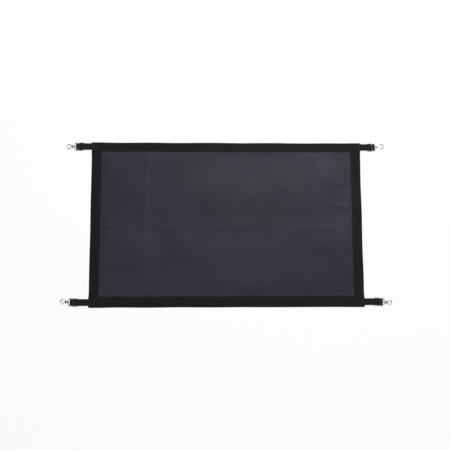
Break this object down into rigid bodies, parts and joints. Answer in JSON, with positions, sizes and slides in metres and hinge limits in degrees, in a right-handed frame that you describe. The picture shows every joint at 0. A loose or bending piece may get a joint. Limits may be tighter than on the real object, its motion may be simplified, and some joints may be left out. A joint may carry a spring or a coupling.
{
  "type": "stable door guard",
  "caption": "Rectangular coated-cloth guard with wide folded binding, held across a stable doorway by webbing corner straps with slide adjusters and swivel trigger snaps.",
  "frame": {"origin": "middle of the guard's outline, on the surface that it lies on", "axes": "+X along the guard, to the right as its face is read; +Y to its top edge; +Z out of its face"},
  "size_m": [1.2021, 0.61, 0.0082],
  "materials": {
    "coated_cloth": "coated plain-weave polyester, dull sheen",
    "binding_tape": "woven black polyester tape",
    "webbing": "woven black polypropylene webbing",
    "nickel_plate": "bright nickel plate",
    "spring_steel": "bright drawn"
  },
  "bodies": {
    "guard": {"front_sheet": "coated_cloth", "binding_top": "binding_tape", "binding_bottom": "binding_tape", "binding_left": "binding_tape", "binding_right": "binding_tape", "strap_top_left": "webbing", "strap_top_right": "webbing", "strap_bottom_left": "webbing", "strap_bottom_right": "webbing"},
    "slide_top_left": {"slide_top_left": "nickel_plate"},
    "loop_top_left": {"strap_loop_top_left": "webbing"},
    "eye_top_left": {"snap_eye_top_left": "nickel_plate"},
    "hook_top_left": {"snap_hook_top_left": "nickel_plate", "gate_pin_top_left": "spring_steel", "gate_spring_top_left": "spring_steel"},
    "gate_top_left": {"snap_gate_top_left": "nickel_plate"},
    "slide_top_right": {"slide_top_right": "nickel_plate"},
    "loop_top_right": {"strap_loop_top_right": "webbing"},
    "eye_top_right": {"snap_eye_top_right": "nickel_plate"},
    "hook_top_right": {"snap_hook_top_right": "nickel_plate", "gate_pin_top_right": "spring_steel", "gate_spring_top_right": "spring_steel"},
    "gate_top_right": {"snap_gate_top_right": "nickel_plate"},
    "slide_bottom_left": {"slide_bottom_left": "nickel_plate"},
    "loop_bottom_left": {"strap_loop_bottom_left": "webbing"},
    "eye_bottom_left": {"snap_eye_bottom_left": "nickel_plate"},
    "hook_bottom_left": {"snap_hook_bottom_left": "nickel_plate", "gate_pin_bottom_left": "spring_steel", "gate_spring_bottom_left": "spring_steel"},
    "gate_bottom_left": {"snap_gate_bottom_left": "nickel_plate"},
    "slide_bottom_right": {"slide_bottom_right": "nickel_plate"},
    "loop_bottom_right": {"strap_loop_bottom_right": "webbing"},
    "eye_bottom_right": {"snap_eye_bottom_right": "nickel_plate"},
    "hook_bottom_right": {"snap_hook_bottom_right": "nickel_plate", "gate_pin_bottom_right": "spring_steel", "gate_spring_bottom_right": "spring_steel"},
    "gate_bottom_right": {"snap_gate_bottom_right": "nickel_plate"}
  },
  "joints": [
    {"name": "slide_adjust_top_left", "type": "slide", "parent": "guard", "child": "slide_top_left", "axis": [1, 0, 0], "range_m": [0, 0.019], "deforming": ["strap_top_left"]},
    {"name": "loop_pay_out_top_left", "type": "slide", "parent": "slide_top_left", "child": "loop_top_left", "axis": [-1, 0, 0], "range_m": [0, 0.0095], "deforming": ["strap_loop_top_left"]},
    {"name": "snap_flip_top_left", "type": "hinge", "parent": "loop_top_left", "child": "eye_top_left", "pos_m": [-0.554, 0.288, 0.0042], "axis": [0, -1, 0], "range_deg": [-85, 85]},
    {"name": "snap_swivel_top_left", "type": "hinge", "parent": "eye_top_left", "child": "hook_top_left", "pos_m": [-0.563, 0.288, 0.0042], "axis": [-1, 0, 0], "continuous": true},
    {"name": "gate_open_top_left", "type": "hinge", "parent": "hook_top_left", "child": "gate_top_left", "pos_m": [-0.571, 0.288, 0.0042], "axis": [0, 0, -1], "range_deg": [0, 25], "stiffness_Nm_per_rad": 0.1, "springref_deg": -20.05},
    {"name": "slide_adjust_top_right", "type": "slide", "parent": "guard", "child": "slide_top_right", "axis": [-1, 0, 0], "range_m": [0, 0.017], "deforming": ["strap_top_right"]},
    {"name": "loop_pay_out_top_right", "type": "slide", "parent": "slide_top_right", "child": "loop_top_right", "axis": [0.9962, 0.0872, 0], "range_m": [0, 0.0085], "deforming": ["strap_loop_top_right"]},
    {"name": "snap_flip_top_right", "type": "hinge", "parent": "loop_top_right", "child": "eye_top_right", "pos_m": [0.55194, 0.28939, 0.0042], "axis": [-0.0872, 0.9962, 0], "range_deg": [-85, 85]},
    {"name": "snap_swivel_top_right", "type": "hinge", "parent": "eye_top_right", "child": "hook_top_right", "pos_m": [0.5609, 0.29018, 0.0042], "axis": [0.9962, 0.0872, 0], "continuous": true},
    {"name": "gate_open_top_right", "type": "hinge", "parent": "hook_top_right", "child": "gate_top_right", "pos_m": [0.56887, 0.29088, 0.0042], "axis": [0, 0, 1], "range_deg": [0, 25], "stiffness_Nm_per_rad": 0.1, "springref_deg": -20.05},
    {"name": "slide_adjust_bottom_left", "type": "slide", "parent": "guard", "child": "slide_bottom_left", "axis": [1, 0, 0], "range_m": [0, 0.028], "deforming": ["strap_bottom_left"]},
    {"name": "loop_pay_out_bottom_left", "type": "slide", "parent": "slide_bottom_left", "child": "loop_bottom_left", "axis": [-0.9976, 0.0698, 0], "range_m": [0, 0.014], "deforming": ["strap_loop_bottom_left"]},
    {"name": "snap_flip_bottom_left", "type": "hinge", "parent": "loop_bottom_left", "child": "eye_bottom_left", "pos_m": [-0.56296, -0.28458, 0.0042], "axis": [-0.0698, -0.9976, 0], "range_deg": [-85, 85]},
    {"name": "snap_swivel_bottom_left", "type": "hinge", "parent": "eye_bottom_left", "child": "hook_bottom_left", "pos_m": [-0.57194, -0.28396, 0.0042], "axis": [-0.9976, 0.0698, 0], "continuous": true},
    {"name": "gate_open_bottom_left", "type": "hinge", "parent": "hook_bottom_left", "child": "gate_bottom_left", "pos_m": [-0.57992, -0.2834, 0.0042], "axis": [0, 0, -1], "range_deg": [0, 25], "stiffness_Nm_per_rad": 0.1, "springref_deg": -20.05},
    {"name": "slide_adjust_bottom_right", "type": "slide", "parent": "guard", "child": "slide_bottom_right", "axis": [-1, 0, 0], "range_m": [0, 0.028], "deforming": ["strap_bottom_right"]},
    {"name": "loop_pay_out_bottom_right", "type": "slide", "parent": "slide_bottom_right", "child": "loop_bottom_right", "axis": [0.9976, -0.0698, 0], "range_m": [0, 0.014], "deforming": ["strap_loop_bottom_right"]},
    {"name": "snap_flip_bottom_right", "type": "hinge", "parent": "loop_bottom_right", "child": "eye_bottom_right", "pos_m": [0.56296, -0.28682, 0.0042], "axis": [0.0698, 0.9976, 0], "range_deg": [-85, 85]},
    {"name": "snap_swivel_bottom_right", "type": "hinge", "parent": "eye_bottom_right", "child": "hook_bottom_right", "pos_m": [0.57194, -0.28744, 0.0042], "axis": [0.9976, -0.0698, 0], "continuous": true},
    {"name": "gate_open_bottom_right", "type": "hinge", "parent": "hook_bottom_right", "child": "gate_bottom_right", "pos_m": [0.57992, -0.288, 0.0042], "axis": [0, 0, 1], "range_deg": [0, 25], "stiffness_Nm_per_rad": 0.1, "springref_deg": -20.05}
  ],
  "couplings": [
    {"joint": "loop_pay_out_top_left", "follows": "slide_adjust_top_left", "ratio": 0.5},
    {"joint": "loop_pay_out_top_right", "follows": "slide_adjust_top_right", "ratio": 0.5},
    {"joint": "loop_pay_out_bottom_left", "follows": "slide_adjust_bottom_left", "ratio": 0.5},
    {"joint": "loop_pay_out_bottom_right", "follows": "slide_adjust_bottom_right", "ratio": 0.5}
  ]
}
